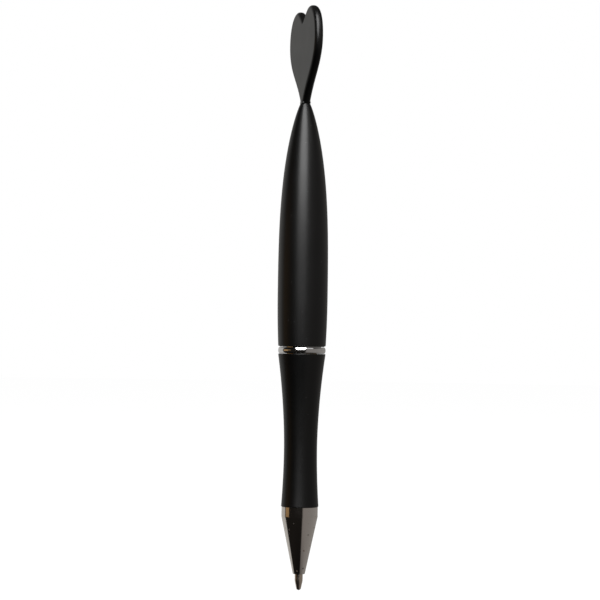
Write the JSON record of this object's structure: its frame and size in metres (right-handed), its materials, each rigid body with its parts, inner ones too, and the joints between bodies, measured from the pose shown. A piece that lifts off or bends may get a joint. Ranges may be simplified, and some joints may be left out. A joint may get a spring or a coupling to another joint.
{
  "type": "counterfeit detector pen",
  "caption": "Twist-action pen with a flat heart finial, satin black barrel, polished centre ring, waisted grip, bright nose cone and a ball point shown turned out.",
  "frame": {"origin": "tip of the writing ball, on the axis of the pen", "axes": "+Z from the writing point up to the heart, +X across the lobes of the heart, -Y out of the face of the heart"},
  "size_m": [0.026, 0.0132, 0.154],
  "materials": {
    "black_coat": "satin black lacquer over metal, fine even texture",
    "grip_coat": "matte black soft coat",
    "polished_chrome": "bright mirror plating",
    "dark_chrome": "polished plating, a little darker than the ring",
    "nickel_silver": "turned and burnished",
    "carbide": "ground and polished ball",
    "brass": "turned brass",
    "steel": "plain drawn steel",
    "acetal": "moulded natural plastic",
    "grey_plastic": "moulded grey plastic",
    "seal_rubber": "moulded rubber",
    "ink": "dark ink paste",
    "grease": "clear yellow follower grease"
  },
  "bodies": {
    "front": {"grip_shell": "grip_coat", "grip_tube": "brass", "thread_insert": "brass", "nose_cone": "dark_chrome"},
    "mechanism": {"threaded_coupling": "brass", "guide_tube": "brass", "centre_ring": "polished_chrome", "friction_ring": "seal_rubber", "retaining_clip": "steel"},
    "upper": {"upper_barrel": "black_coat", "spiral_sleeve": "acetal", "sleeve_housing": "brass", "lower_bush": "acetal", "finial_nut": "brass", "heart_stud": "steel", "heart_finial": "black_coat"},
    "refill": {"plunger": "acetal", "drive_pin": "steel", "refill_tube": "steel", "refill_point": "nickel_silver", "refill_end_plug": "grey_plastic", "ink": "ink", "ink_follower": "grease", "return_spring": "steel"},
    "ball": {"ball": "carbide"}
  },
  "joints": [
    {"name": "halves_part", "type": "slide", "parent": "front", "child": "mechanism", "axis": [0, 0, 1], "range_m": [0, 0.07]},
    {"name": "upper_twist", "type": "hinge", "parent": "mechanism", "child": "upper", "pos_m": [0, 0, 0.096], "axis": [0, 0, 1], "range_deg": [0, 180]},
    {"name": "refill_slide", "type": "slide", "parent": "mechanism", "child": "refill", "axis": [0, 0, 1], "range_m": [0, 0.006], "deforming": ["return_spring"]},
    {"name": "ball_spin", "type": "hinge", "parent": "refill", "child": "ball", "pos_m": [0, 0, 0.0005], "axis": [0, 1, 0], "continuous": true}
  ],
  "couplings": [
    {"joint": "refill_slide", "follows": "upper_twist", "m_per_rad": 0.0019099}
  ]
}
